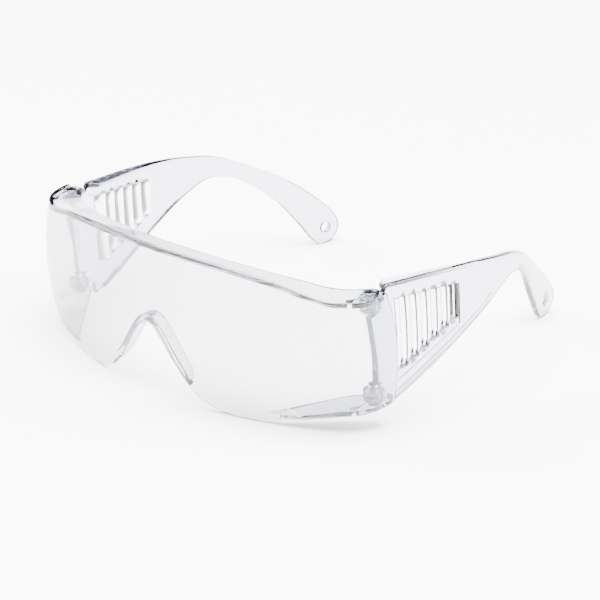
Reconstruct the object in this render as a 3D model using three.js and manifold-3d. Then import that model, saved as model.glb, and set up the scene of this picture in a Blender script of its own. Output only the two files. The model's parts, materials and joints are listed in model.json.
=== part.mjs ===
import * as THREE from "three";
import { mergeVertices } from "three/addons/utils/BufferGeometryUtils.js";
import Module from "manifold-3d";

// Safety glasses worn over other glasses: a one-piece wraparound lens and two vented side arms,
// all clear polycarbonate. Millimetres. While it is built, the hinge axes stand along +Z at y = 0
// and the lens faces -Y. At the end the whole is tipped until it rests on the lens and the arm tips.

// Lens
const halfWidth = 76.6; // outer face of the side wing at mid height
const frontReach = 33.9; // hinge axis to the foremost point of the lens
const wingReach = 6.1; // hinge axis to the rear edge of the wing
const wingCornerCut = 2.9; // how much shorter the wing is at its top and bottom
const lensWall = 1.8;
const wingWall = 1.6;
const bowHeight = 19; // height at which the lens bulges most
const browRise = 10.1; // top of the lens above the hinge shelf
const chinDrop = 4; // lowest edge of the lens below the hinge datum
const rimReveal = 0.3; // lens rim standing proud of the shelf and of the ledge

// Nose arch
const noseHalfWidth = 16;
const noseHeight = 19.1; // crown above the feet
const noseFoot = 4.6; // height of the feet
const noseWall = 2.3;
const noseDepth = 6.6; // lens front to the rear edge of the nose pad, at the crown
const noseFootDepth = 5.6;

// Brow shelf and hinge shelves
const shelfTop = 41.4;
const shelfWall = 2;
const browDepth = 10.2; // lens front to the rear edge of the brow shelf, on the centre line
const browDip = 0.6; // fall of the brow shelf towards the forehead
const ledgeBase = 1.2;
const ledgeWall = 1.8;

// Hinges
const pinInset = 6.6; // wing face to hinge axis
const pinRadius = 1.5;
const pinHeadRadius = 2.3;
const pinHeadHeight = 0.8;
const turningGap = 0.1; // radial, pin in the shelf and the ledge
const pressGap = 0.06; // radial, pin in the knuckle
const stackGap = 0.35; // between faces that pass each other
const knuckleRadius = 3.5;
const knuckleHeight = 3.5;
const eyeWall = 4.2; // hinge axis to the free edge of the shelf
const reliefReach = 8.7; // hinge axis to the relief hole that lets the eye flex
const reliefRadius = 1.3;
const reliefSlit = 0.8;

// Arms
const armWall = 2.2;
const armReach = 122; // hinge axis to the end of the tip
const armOffset = 1.9; // hinge axis to the outer face of the arm
const armFlare = 2.9; // how far the arm bellies out
const armPinch = 18.3; // how far the tip turns in
const armBow = 0.0032;
const armTop = 42.2;
const armFront = 2.2; // hinge axis to the front edge of the arm, at its top
const armRake = 2.7; // how far that edge falls back towards its foot
const armShoulder = 6.9; // hinge axis to where the arm reaches its full height
const flangeWidth = 6;
const flangeWall = 1.8;
const hemWidth = 3.5;
const tipHoleRadius = 2.1;

// Side vent
const ventFront = 11;
const ventPitch = 4.85;
const ventCount = 6;
const ventTop = 35.4;
const ventFall = 0.16; // slope of the vent's top edge
const ventBottom = 9.7;
const ventStep = 1.7; // rise of each louvre's foot over the last
const panelRecess = 0.5;
const louvreWall = 0.9;
const louvreThrow = 2.3; // how far each louvre leans into the head space
const louvreLap = 0.4;

// Flats that the glasses stand on
const restFlat = 0.3;

const pinX = halfWidth - pinInset;
const roundSides = 24;

const wasm = await Module();
wasm.setup();

function solid(geometry) {
  const bare = geometry.clone();
  bare.deleteAttribute("normal");
  bare.deleteAttribute("uv");
  const merged = mergeVertices(bare, 1e-4);
  return new wasm.Manifold(
    new wasm.Mesh({
      numProp: 3,
      vertProperties: merged.attributes.position.array,
      triVerts: new Uint32Array(merged.index.array),
    }),
  );
}

function geometryOf(body) {
  const mesh = body.getMesh();
  const places = new Float32Array(mesh.numVert * 3);
  for (let i = 0; i < mesh.numVert; i++) {
    places.set(mesh.vertProperties.subarray(i * mesh.numProp, i * mesh.numProp + 3), i * 3);
  }
  const geometry = new THREE.BufferGeometry();
  geometry.setAttribute("position", new THREE.BufferAttribute(places, 3));
  geometry.setIndex(new THREE.BufferAttribute(new Uint32Array(mesh.triVerts), 1));
  return geometry;
}

function mirrored(body) {
  const geometry = geometryOf(body).scale(-1, 1, 1);
  const index = geometry.index.array;
  for (let i = 0; i < index.length; i += 3) {
    [index[i + 1], index[i + 2]] = [index[i + 2], index[i + 1]];
  }
  return solid(geometry);
}

// Closed body through a row of sections that all have the same number of corners.
function loft(sections) {
  const corners = sections[0].length;
  const places = sections.flat().flatMap((p) => [p.x, p.y, p.z]);
  const index = [];
  for (let i = 0; i + 1 < sections.length; i++) {
    for (let j = 0; j < corners; j++) {
      const a = i * corners + j;
      const b = i * corners + ((j + 1) % corners);
      index.push(a, b, b + corners, a, b + corners, a + corners);
    }
  }
  const last = (sections.length - 1) * corners;
  for (let j = 1; j + 1 < corners; j++) {
    index.push(0, j + 1, j);
    index.push(last, last + j, last + j + 1);
  }
  const geometry = new THREE.BufferGeometry();
  geometry.setAttribute("position", new THREE.BufferAttribute(new Float32Array(places), 3));
  geometry.setIndex(index);
  const body = solid(geometry);
  if (body.volume() > 0) {
    return body;
  }
  for (let i = 0; i < index.length; i += 3) {
    [index[i + 1], index[i + 2]] = [index[i + 2], index[i + 1]];
  }
  geometry.setIndex(index);
  return solid(geometry);
}

// Upright prism over a plan outline, from one height to another.
function planPrism(shape, low, high, curveSegments = 8) {
  const options = { depth: high - low, bevelEnabled: false, curveSegments };
  return solid(new THREE.ExtrudeGeometry(shape, options).translate(0, 0, low));
}

// Prism across the head, from an outline drawn in y and z.
function sidePrism(shape, inner, outer, curveSegments = 8) {
  const options = { depth: outer - inner, bevelEnabled: false, curveSegments };
  const turn = new THREE.Matrix4().makeBasis(
    new THREE.Vector3(0, 1, 0),
    new THREE.Vector3(0, 0, 1),
    new THREE.Vector3(1, 0, 0),
  );
  return solid(new THREE.ExtrudeGeometry(shape, options).applyMatrix4(turn).translate(inner, 0, 0));
}

// Prism front to back, from an outline drawn in x and z.
function frontPrism(shape, front, back, curveSegments = 8) {
  const options = { depth: back - front, bevelEnabled: false, curveSegments };
  const geometry = new THREE.ExtrudeGeometry(shape, options).rotateX(Math.PI / 2);
  return solid(geometry.translate(0, back, 0));
}

function rod(radius, low, high, x = pinX, y = 0) {
  const geometry = new THREE.CylinderGeometry(radius, radius, high - low, roundSides);
  return solid(geometry.rotateX(Math.PI / 2).translate(x, y, (low + high) / 2));
}

function points(list) {
  return list.map(([x, y]) => new THREE.Vector2(x, y));
}

function curve(list) {
  return new THREE.CatmullRomCurve3(list.map((p) => new THREE.Vector3(...p)));
}

// Plan of the lens at mid height, centre line to wing end: x and y as shares of the half width
// and of the reach, then how strongly the wall leans in above and below (1/mm).
const lensPlan = [
  [0, -1, 0.003],
  [0.183, -0.981, 0.003],
  [0.366, -0.919, 0.0031],
  [0.548, -0.805, 0.0036],
  [0.705, -0.667, 0.0042],
  [0.822, -0.549, 0.0048],
  [0.898, -0.448, 0.0052],
  [0.953, -0.336, 0.005],
  [0.987, -0.195, 0.004],
  [0.999, -0.029, 0.0032],
];
const halfPlan = lensPlan.map(([x, y, lean]) => [x * halfWidth, y * frontReach, lean * 1000]);
halfPlan.push([halfWidth, wingReach, 3]);
const mirrorPlan = halfPlan.slice(1).map(([x, y, lean]) => [-x, y, lean]).reverse();
const planCurve = curve([...mirrorPlan, ...halfPlan]);
planCurve.arcLengthDivisions = 800;

// Point of the lens at share t of its plan, height z and depth behind its outer face.
function lensPoint(t, z, depth) {
  const mid = planCurve.getPointAt(t);
  const along = planCurve.getTangentAt(t);
  const inward = new THREE.Vector2(-along.y, along.x).normalize();
  const set = (mid.z / 1000) * (z - bowHeight) ** 2 + depth;
  const rise = Math.min(1, Math.abs(z - bowHeight) / (shelfTop - bowHeight));
  const y = mid.y > 0 ? mid.y * (1 - (wingCornerCut / wingReach) * rise ** 2) : mid.y;
  return new THREE.Vector3(mid.x + inward.x * set, y + inward.y * set, z);
}

// The curve of lensPoint between two shares of the plan, thickened by a wall that may vary.
function lensSheet(from, to, columns, low, high, rows, wall) {
  const sections = [];
  for (let i = 0; i <= columns; i++) {
    const t = from + ((to - from) * i) / columns;
    const section = [];
    for (let j = 0; j <= rows; j++) {
      section.push(lensPoint(t, low + ((high - low) * j) / rows, 0));
    }
    for (let j = rows; j >= 0; j--) {
      section.push(lensPoint(t, low + ((high - low) * j) / rows, wall(t)));
    }
    sections.push(section);
  }
  return sheetLoft(sections, rows);
}

// As loft, with end caps cut into quads so that curved ends stay true.
function sheetLoft(sections, rows) {
  const corners = sections[0].length;
  const places = sections.flat().flatMap((p) => [p.x, p.y, p.z]);
  const index = [];
  for (let i = 0; i + 1 < sections.length; i++) {
    for (let j = 0; j < corners; j++) {
      const a = i * corners + j;
      const b = i * corners + ((j + 1) % corners);
      index.push(a, a + corners, b + corners, a, b + corners, b);
    }
  }
  const last = (sections.length - 1) * corners;
  for (let j = 0; j < rows; j++) {
    const back = corners - 1 - j;
    index.push(j, j + 1, back - 1, j, back - 1, back);
    index.push(last + j, last + back - 1, last + j + 1, last + j, last + back, last + back - 1);
  }
  const geometry = new THREE.BufferGeometry();
  geometry.setAttribute("position", new THREE.BufferAttribute(new Float32Array(places), 3));
  geometry.setIndex(index);
  return solid(geometry);
}

// Front outline of the lens: shares of the half width, and heights.
const topEdge = [
  [0, shelfTop + browRise],
  [0.19, shelfTop + browRise * 0.97],
  [0.352, shelfTop + browRise * 0.908],
  [0.47, shelfTop + browRise * 0.796],
  [0.561, shelfTop + browRise * 0.676],
  [0.64, shelfTop + browRise * 0.545],
  [0.705, shelfTop + browRise * 0.388],
  [0.783, shelfTop + browRise * 0.21],
  [0.84, shelfTop + browRise * 0.102],
  [0.92, shelfTop + browRise * 0.06],
  [1.02, shelfTop + browRise * 0.042],
];
const chinEdge = [
  [1.02, 1.5],
  [0.94, 1.2],
  [0.88, 0.9],
  [0.843, 0],
  [0.762, -0.4 * chinDrop],
  [0.68, -0.73 * chinDrop],
  [0.587, -0.95 * chinDrop],
  [0.496, -chinDrop],
  [0.392, -0.78 * chinDrop],
  [0.317, -0.33 * chinDrop],
  [0.261, 0.8],
];
// Nose arch: shares of its half width and of its height.
const noseEdge = [
  [1.18, -0.125],
  [1, 0],
  [0.83, 0.19],
  [0.656, 0.39],
  [0.42, 0.69],
  [0.19, 0.925],
  [0.09, 0.982],
  [0, 1],
];
const topHalf = topEdge.map(([x, z]) => [x * halfWidth, z]);
const chinHalf = chinEdge.map(([x, z]) => [x * halfWidth, z]);
const noseHalf = noseEdge.map(([x, z]) => [x * noseHalfWidth, noseFoot + z * noseHeight]);
const lowHalf = [...chinHalf, ...noseHalf];

function bothSides(half) {
  const other = half.slice(0, -1).map(([x, z]) => [-x, z]).reverse();
  return points([...half, ...other]);
}

function heightAt(list, x) {
  const edge = new THREE.SplineCurve(points(list)).getSpacedPoints(160);
  const reach = Math.abs(x);
  const i = edge.findIndex((p, n) => n > 0 && (p.x - reach) * (edge[n - 1].x - reach) <= 0);
  if (i < 0) {
    return edge.at(-1).y;
  }
  const share = (reach - edge[i - 1].x) / (edge[i].x - edge[i - 1].x || 1);
  return edge[i - 1].y + (edge[i].y - edge[i - 1].y) * share;
}

const outline = new THREE.Shape();
const topSpline = new THREE.SplineCurve(bothSides([...topHalf].reverse())).getSpacedPoints(50);
const lowSpline = new THREE.SplineCurve(bothSides(lowHalf)).getSpacedPoints(90);
outline.setFromPoints([...topSpline.reverse(), ...lowSpline]);

const highest = shelfTop + browRise + 2;
const lowest = -chinDrop - 2;
const wallAt = (t) => (Math.abs(planCurve.getPointAt(t).x) > 0.96 * halfWidth ? wingWall : lensWall);
const shell = lensSheet(0, 1, 76, lowest, highest, 6, wallAt);
const frontFace = frontPrism(outline, -frontReach - 4, wingReach + 4);
let shield = shell.intersect(frontFace);

// Nose pad: a band round the arch that reaches back from the lens.
const arch = new THREE.SplineCurve(bothSides(noseHalf)).getSpacedPoints(32);
const archBand = new THREE.Shape();
const archTop = arch.map((p, i) => {
  const next = arch[Math.min(i + 1, arch.length - 1)];
  const before = arch[Math.max(i - 1, 0)];
  const normal = new THREE.Vector2(next.y - before.y, before.x - next.x).normalize();
  const side = normal.y < 0 ? -noseWall : noseWall;
  return new THREE.Vector2(p.x + normal.x * side, p.y + normal.y * side);
});
archBand.setFromPoints([...arch, ...archTop.reverse()]);
const noseSpan = noseHalfWidth * 1.3;
const halfLength = planCurve.getLength() / 2;
const noseShare = noseSpan / halfLength / 2;
const padEnd = 1.05; // where the pad dies out, as a share of the half width
const padDepth = (t) => {
  const off = (Math.abs(t - 0.5) * 2 * halfLength) / noseHalfWidth;
  const fade = Math.min(1, Math.max(0, (padEnd - off) / 0.2));
  return 1.2 + (noseDepth - 1.2 + (noseFootDepth - noseDepth) * off ** 2) * fade ** 0.6;
};
const padBlock = lensSheet(0.5 - noseShare, 0.5 + noseShare, 16, 0, 36, 4, padDepth);
shield = shield.add(padBlock.intersect(frontPrism(archBand, -frontReach - 4, 0)));

// Brow shelf and hinge shelf, as one ribbon: its front lies in the lens wall at these shares of the
// half plan, and its free edge runs past the forehead and round the hinge.
const browEdge = -frontReach + browDepth;
const browCurve = (x) => browEdge + 0.005 * x ** 2;
const browSag = shelfTop + browRise - rimReveal - browDip;
const shelfRows = [
  [0, 0, browCurve(0), browSag],
  [0.167, pinX * 0.2, browCurve(pinX * 0.2), browSag - browRise * 0.042],
  [0.34, pinX * 0.4, browCurve(pinX * 0.4), browSag - browRise * 0.162],
  [0.5, pinX * 0.585, browCurve(pinX * 0.585), browSag - browRise * 0.359],
  [0.631, pinX * 0.743, browCurve(pinX * 0.743), browSag - browRise * 0.575],
  [0.724, pinX - 12, -6.6, shelfTop + browRise * 0.168],
  [0.781, pinX - 7.6, -1.9, shelfTop + browRise * 0.036],
  [0.836, pinX - 4.1, 1.7, shelfTop],
  [0.901, pinX - 1.6, eyeWall, shelfTop],
  [0.965, pinX + 1.5, eyeWall, shelfTop],
];
function shelfRibbon(rows, heightOf, wall, steps) {
  const free = curve(rows.map(([, x, y, z]) => [x, y, z]));
  const seat = curve(rows.map(([share]) => [share, 0, 0]));
  const sections = [];
  for (let i = 0; i <= steps; i++) {
    const back = free.getPoint(i / steps);
    const t = 0.5 + seat.getPoint(i / steps).x / 2;
    const rough = lensPoint(t, back.z, wingWall / 2);
    const front = lensPoint(t, heightOf(rough.x), wingWall / 2);
    sections.push([
      front,
      back,
      new THREE.Vector3(back.x, back.y, back.z - wall),
      new THREE.Vector3(front.x, front.y, front.z - wall),
    ]);
  }
  return sections;
}
const shelfHeight = (x) => heightAt(topHalf, x) - rimReveal;
const shelfSections = shelfRibbon(shelfRows, shelfHeight, shelfWall, 26);
const flip = (sections) =>
  sections.slice(1).map((row) => row.map((p) => new THREE.Vector3(-p.x, p.y, p.z))).reverse();
shield = shield.add(loft([...flip(shelfSections), ...shelfSections]));

// Lower ledge at each hinge, thinning out along the foot of the lens.
const ledgeTop = ledgeBase + ledgeWall;
const ledgeRows = [
  [0.43, pinX - 32.6, -26.7, 0.6 - chinDrop + ledgeWall],
  [0.52, pinX - 23.9, -21.6, ledgeTop - 2.4],
  [0.63, pinX - 17.6, -14.2, ledgeTop - 1.4],
  [0.724, pinX - 12.2, -7.6, ledgeTop - 0.5],
  [0.781, pinX - 7.6, -1.9, ledgeTop],
  [0.836, pinX - 4.1, 1.7, ledgeTop],
  [0.901, pinX - 1.6, eyeWall, ledgeTop],
  [0.965, pinX + 1.5, eyeWall, ledgeTop],
];
const ledgeHeight = (x) => Math.min(ledgeTop, heightAt(lowHalf.slice(0, 10), x) + rimReveal + ledgeWall);
const ledge = loft(shelfRibbon(ledgeRows, ledgeHeight, ledgeWall, 16)).intersect(frontFace);
shield = shield.add(ledge).add(mirrored(ledge));

// Hinge eyes, each with a slit to a relief hole so that it can spring open over the pin.
const slit = new THREE.Shape(
  points([
    [pinX - reliefSlit / 2, 0],
    [pinX - 1 - reliefSlit / 2, -reliefReach],
    [pinX - 1 + reliefSlit / 2, -reliefReach],
    [pinX + reliefSlit / 2, 0],
  ]),
);
for (const [low, high] of [
  [shelfTop - shelfWall - 1.5, shelfTop + 1.5],
  [ledgeBase - 1.5, ledgeTop + 0.3],
]) {
  const eye = rod(pinRadius + turningGap, low, high)
    .add(rod(reliefRadius, low, high, pinX - 1, -reliefReach))
    .add(planPrism(slit, low, high));
  shield = shield.subtract(eye).subtract(mirrored(eye));
}

// Arm: outer face as a curved sheet, cut to its side outline.
// The arm's outlines are drawn for one reach. Behind the vent they stretch to any other.
const drawnReach = 122;
const stretchFrom = 50;
function reach(y) {
  const share = Math.max(0, y - stretchFrom) / (drawnReach - stretchFrom);
  return Math.min(y, stretchFrom) + share * (armReach - stretchFrom);
}
// Plan of the arm: distance behind the hinge, then shares of the flare out and of the turn in.
const armPlan = [
  [0, 0, 0],
  [15, 0.35, 0],
  [30, 0.76, 0],
  [45, 1, 0],
  [60, 0.83, 0],
  [75, 0, 0.022],
  [87, 0, 0.322],
  [97, 0, 0.623],
  [106, 0, 0.825],
  [116, 0, 0.962],
  [drawnReach, 0, 1],
].map(([y, out, turn]) => [reach(y), armFlare * out - armPinch * turn]);
const armPlanCurve = new THREE.SplineCurve(points(armPlan)).getPoints(200);
function armFace(y) {
  const i = armPlanCurve.findIndex((p) => p.x >= y);
  if (i <= 0) {
    return pinX + armOffset + (i ? armPlanCurve.at(-1).y : 0);
  }
  const [before, after] = [armPlanCurve[i - 1], armPlanCurve[i]];
  const share = (y - before.x) / (after.x - before.x);
  return pinX + armOffset + before.y + (after.y - before.y) * share;
}
function armPoint(y, z, depth) {
  const fade = Math.max(0, 1 - Math.max(0, y) / (0.5 * armReach));
  return new THREE.Vector3(armFace(y) - armBow * fade * (z - bowHeight) ** 2 - depth, y, z);
}
function armSheet(front, back, columns, widthAt) {
  const rows = 5;
  const low = -22;
  const high = armTop + 3;
  const sections = [];
  for (let i = 0; i <= columns; i++) {
    const y = front + ((back - front) * i) / columns;
    const section = [];
    for (let j = 0; j <= rows; j++) {
      section.push(armPoint(y, low + ((high - low) * j) / rows, 0));
    }
    for (let j = rows; j >= 0; j--) {
      section.push(armPoint(y, low + ((high - low) * j) / rows, widthAt(y)));
    }
    sections.push(section);
  }
  return sheetLoft(sections, rows);
}

const upperKnuckleTop = shelfTop - shelfWall - stackGap;
const lowerKnuckleBase = ledgeTop + stackGap;
const armLine = (list) => list.map(([y, z]) => [reach(y), z]);
const armTopEdge = armLine([
  [armShoulder + 1, armTop - 0.2],
  [14.5, 41],
  [23, 39.8],
  [32, 38.5],
  [41, 37],
  [52, 34.9],
  [63, 32.3],
  [74, 29.2],
  [85, 23.6],
  [96, 16.8],
  [105, 9.6],
  [113, 2],
  [118.6, -4],
  [121.3, -8.4],
  [drawnReach, -11.8],
]);
const armTip = armLine([
  [120.6, -14.8],
  [117.8, -16.8],
  [114.5, -17.3],
  [111.2, -16],
  [108.6, -13.2],
  [106.2, -9.4],
  [102.7, -4.1],
  [97.2, 4],
  [92.7, 9.3],
  [88, 13.6],
  [82.5, 17.8],
  [77, 20.3],
  [71.5, 21.2],
  [65.3, 20.1],
  [59.6, 18],
  [48.5, 13.6],
  [37.7, 9],
  [27.4, 4.9],
  [18, 1.3],
  [11, -1],
]);
const upperCurve = new THREE.SplineCurve(points(armTopEdge)).getSpacedPoints(32);
const lowerCurve = new THREE.SplineCurve(points([armTopEdge.at(-1), ...armTip])).getSpacedPoints(48);
const armShape = new THREE.Shape();
armShape.setFromPoints([
  ...points([
    [armShoulder, -2],
    [armShoulder, 2],
    [armShoulder - 1.4, lowerKnuckleBase],
    [armRake - armFront + 0.6, lowerKnuckleBase],
    [armRake - armFront, lowerKnuckleBase + 0.8],
    [0.78 * armRake - armFront, bowHeight],
    [-armFront, upperKnuckleTop - 0.8],
    [-armFront + 0.6, upperKnuckleTop],
    [armShoulder - 1.4, upperKnuckleTop],
    [armShoulder, upperKnuckleTop + 1.4],
    [armShoulder, armTop - 0.9],
  ]),
  ...upperCurve,
  ...lowerCurve.slice(1),
]);
const armOutline = sidePrism(armShape, pinX - 40, pinX + 20);
let arm = armSheet(-armFront - 2, armReach + 1, 30, () => armWall).intersect(armOutline);

// Vent opening, inside a shallow recessed panel.
const ventEnd = ventFront + ventPitch * ventCount;
const ventTopAt = (y) => ventTop - ventFall * (y - ventFront);
const panel = new THREE.Shape(
  points([
    [ventFront - 0.4, ventTopAt(ventFront) + 0.6],
    [ventFront - 0.4, ventBottom - 4],
    [ventEnd + 0.6, ventBottom - 4 + ventStep * ventCount],
    [ventEnd + 0.6, ventTopAt(ventEnd) + 0.6],
  ]),
);
const recess = armSheet(-armFront - 2, armReach + 1, 30, () => panelRecess);
arm = arm.subtract(recess.intersect(sidePrism(panel, pinX - 20, pinX + 20)));
const opening = [[ventFront, ventTopAt(ventFront)]];
for (let i = 0; i < ventCount; i++) {
  opening.push([ventFront + i * ventPitch, ventBottom + i * ventStep]);
  opening.push([ventFront + (i + 1) * ventPitch, ventBottom + i * ventStep]);
}
opening.push([ventEnd, ventTopAt(ventEnd)]);
arm = arm.subtract(sidePrism(new THREE.Shape(points(opening)), pinX - 20, pinX + 20));

// Upright louvres: each starts flush with the panel and leans in behind the next.
const louvreBite = 0.5;
for (let i = 0; i < ventCount; i++) {
  const y0 = ventFront + i * ventPitch - (i ? 0 : louvreLap);
  const y1 = ventFront + (i + 1) * ventPitch + louvreLap;
  const foot = ventBottom + i * ventStep - louvreBite;
  const sections = [0, 0.34, 0.67, 1].map((share) => {
    const z0 = foot + (ventTopAt(y0) + louvreBite - foot) * share;
    const z1 = foot + (ventTopAt(y1) + louvreBite - foot) * share;
    return [
      armPoint(y0, z0, panelRecess),
      armPoint(y1, z1, louvreThrow),
      armPoint(y1, z1, louvreThrow + louvreWall),
      armPoint(y0, z0, panelRecess + louvreWall),
    ];
  });
  arm = arm.add(loft(sections));
}

// Flange turned in along the top edge, and a narrow hem along the bottom edge.
const flangeEnd = 52;
const hemEnd = 60;
const taper = (y, end) => Math.max(0, Math.min(1, (end - y) / end));
const flangeBand = new THREE.Shape();
const flangeLine = upperCurve.filter((p) => p.x < flangeEnd + 4);
flangeBand.setFromPoints([
  ...flangeLine,
  ...flangeLine.map((p) => new THREE.Vector2(p.x, p.y - flangeWall)).reverse(),
]);
const flangeStart = (y) => Math.min(1, Math.max(0.25, (y - armShoulder) / 3.5));
const flangeAt = (y) => armWall + (flangeWidth - armWall) * taper(y, flangeEnd) * flangeStart(y);
const flangeSheet = armSheet(armShoulder, flangeEnd, 12, flangeAt);
arm = arm.add(flangeSheet.intersect(sidePrism(flangeBand, pinX - 20, pinX + 20)));
const hemBand = new THREE.Shape();
const hemLine = lowerCurve.filter((p) => p.x < hemEnd);
hemBand.setFromPoints([
  ...hemLine,
  ...hemLine.map((p) => new THREE.Vector2(p.x, p.y + flangeWall)).reverse(),
]);
const hemAt = (y) => armWall + (hemWidth - armWall) * Math.min(1, taper(y, hemEnd) * 2);
const hemSheet = armSheet(armShoulder + 3, hemEnd, 12, hemAt);
arm = arm.add(hemSheet.intersect(sidePrism(hemBand, pinX - 20, pinX + 20)));

// Knuckles that sit between the shelf and the ledge, bored for the pins, and the tip hole.
const knuckleBores = rod(pinRadius + pressGap, ledgeTop - 2, lowerKnuckleBase + knuckleHeight + 2).add(
  rod(pinRadius + pressGap, upperKnuckleTop - knuckleHeight - 2, shelfTop),
);
arm = arm
  .add(rod(knuckleRadius, lowerKnuckleBase, lowerKnuckleBase + knuckleHeight))
  .add(rod(knuckleRadius, upperKnuckleTop - knuckleHeight, upperKnuckleTop))
  .subtract(knuckleBores);
const tipHole = new THREE.Shape();
tipHole.absarc(reach(115.4), -10.4, tipHoleRadius, 0, 2 * Math.PI);
arm = arm.subtract(sidePrism(tipHole, pinX - 40, pinX + 20, roundSides / 2));

// Pins: pressed into the knuckles from above and from below, with a low round head outside.
function pin(head, end) {
  const way = Math.sign(end - head);
  const profile = points([
    [0, 0],
    [pinHeadRadius - 0.4, 0],
    [pinHeadRadius, 0.4],
    [pinHeadRadius, pinHeadHeight],
    [pinRadius, pinHeadHeight],
    [pinRadius, Math.abs(end - head) - 0.3],
    [pinRadius - 0.3, Math.abs(end - head)],
    [0, Math.abs(end - head)],
  ]);
  const geometry = new THREE.LatheGeometry(profile, roundSides);
  const body = solid(geometry.rotateX(way * (Math.PI / 2)).translate(pinX, 0, head));
  return body;
}
const headGap = 0.3;
const upperHead = shelfTop + headGap + pinHeadHeight;
const lowerHead = ledgeBase - headGap - pinHeadHeight;
const upperPin = pin(upperHead, upperKnuckleTop - knuckleHeight - 0.4);
const lowerPin = pin(lowerHead, lowerKnuckleBase + knuckleHeight + 0.4);

// Tip angle at which the lens and the arm tips touch the table together.
function lowestAt(body, tilt) {
  const places = body.getMesh().vertProperties;
  let least = Infinity;
  for (let i = 0; i < places.length; i += 3) {
    least = Math.min(least, places[i + 1] * Math.sin(tilt) + places[i + 2] * Math.cos(tilt));
  }
  return least;
}
let tiltLow = -0.2;
let tiltHigh = 0.4;
for (let i = 0; i < 40; i++) {
  const middle = (tiltLow + tiltHigh) / 2;
  if (lowestAt(shield, middle) > lowestAt(arm, middle)) {
    tiltLow = middle;
  } else {
    tiltHigh = middle;
  }
}
const tilt = (tiltLow + tiltHigh) / 2;
const floor = lowestAt(shield, tilt) + restFlat;
const footSlab = new THREE.BoxGeometry(2 * halfWidth, 4 * armReach, 40);
const slab = solid(footSlab.translate(halfWidth + 2, 0, floor - 20).rotateX(-tilt));
shield = shield.subtract(slab).subtract(mirrored(slab));
arm = arm.subtract(slab);

const clear = (name, color) => {
  const material = new THREE.MeshStandardMaterial({
    color,
    roughness: 0.06,
    metalness: 0,
    transparent: true,
    opacity: 0.35,
  });
  material.name = name;
  return material;
};
const bodies = [
  ["shield", shield, clear("lens_polycarbonate", 0xe9edf2)],
  ["temple_left", arm, clear("arm_polycarbonate", 0xe4e6ee)],
  ["temple_right", mirrored(arm), clear("arm_polycarbonate_right", 0xe4e6ee)],
  ["hinge_pin_upper_left", upperPin, clear("pin_polycarbonate", 0xd3d6df)],
  ["hinge_pin_upper_right", mirrored(upperPin), clear("pin_polycarbonate_2", 0xd3d6df)],
  ["hinge_pin_lower_left", lowerPin, clear("pin_polycarbonate_3", 0xd3d6df)],
  ["hinge_pin_lower_right", mirrored(lowerPin), clear("pin_polycarbonate_4", 0xd3d6df)],
];
const glasses = new THREE.Group();
for (const [name, body, material] of bodies) {
  const mesh = new THREE.Mesh(geometryOf(body), material);
  mesh.name = name;
  glasses.add(mesh);
}

// Tip the glasses onto the table and centre them over the origin.
glasses.rotation.x = tilt;
glasses.updateMatrixWorld(true);
const box = new THREE.Box3().setFromObject(glasses, true);
glasses.position.set(-(box.min.x + box.max.x) / 2, -(box.min.y + box.max.y) / 2, -box.min.z);
const group = new THREE.Group();
group.add(glasses);

export default group;
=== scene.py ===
import json
import math

import bmesh
import bpy
import numpy as np
from mathutils import Matrix, Vector
from mathutils.geometry import delaunay_2d_cdt


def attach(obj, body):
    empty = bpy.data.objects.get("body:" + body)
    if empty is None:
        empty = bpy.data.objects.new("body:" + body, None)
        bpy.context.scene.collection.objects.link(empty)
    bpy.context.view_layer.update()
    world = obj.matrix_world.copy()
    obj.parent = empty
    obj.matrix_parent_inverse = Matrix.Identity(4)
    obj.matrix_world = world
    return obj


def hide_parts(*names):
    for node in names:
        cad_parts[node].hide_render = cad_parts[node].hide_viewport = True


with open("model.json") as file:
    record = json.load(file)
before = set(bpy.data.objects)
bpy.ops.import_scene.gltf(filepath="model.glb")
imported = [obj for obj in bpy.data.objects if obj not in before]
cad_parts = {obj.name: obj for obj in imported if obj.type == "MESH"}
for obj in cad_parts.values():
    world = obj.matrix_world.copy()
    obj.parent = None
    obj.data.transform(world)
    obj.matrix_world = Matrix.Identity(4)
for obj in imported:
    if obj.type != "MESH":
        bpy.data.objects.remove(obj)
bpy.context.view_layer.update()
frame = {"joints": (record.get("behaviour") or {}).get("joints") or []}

scene = bpy.context.scene

# Safety glasses worn over other glasses. Sizes are millimetres in the hinge frame:
# x across, y = 0 on the hinge axes with the lens at -y, z along the hinge axes.
hinge = {"pinX": 70.0, "midZ": 20.0}

leftJoint = next(j for j in frame["joints"] if j["name"] == "fold_left")
hingeAxis = Vector(leftJoint["axis"])
tilt = math.atan2(-hingeAxis.y, hingeAxis.z)  # lean of the hinges when the glasses stand on a table
tiltTurn = Matrix.Rotation(tilt, 4, "X")
hingeShift = Vector(leftJoint["pos_m"]) - tiltTurn @ Vector((hinge["pinX"], 0, hinge["midZ"])) / 1000
toTable = Matrix.Translation(hingeShift) @ tiltTurn @ Matrix.Scale(0.001, 4)


def hexColour(text):  # sRGB hex to linear RGBA
    channels = [int(text[i:i + 2], 16) / 255 for i in (1, 3, 5)]
    return [c / 12.92 if c <= 0.04045 else ((c + 0.055) / 1.055) ** 2.4 for c in channels] + [1.0]


def addNode(tree, kind, links=None, **settings):
    node = tree.nodes.new(kind)
    for key, value in settings.items():
        if hasattr(node, key):
            setattr(node, key, value)
        else:
            node.inputs[key.replace("_", " ")].default_value = value
    for socket, source in (links or {}).items():
        tree.links.new(source, node.inputs[socket])
    return node


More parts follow.
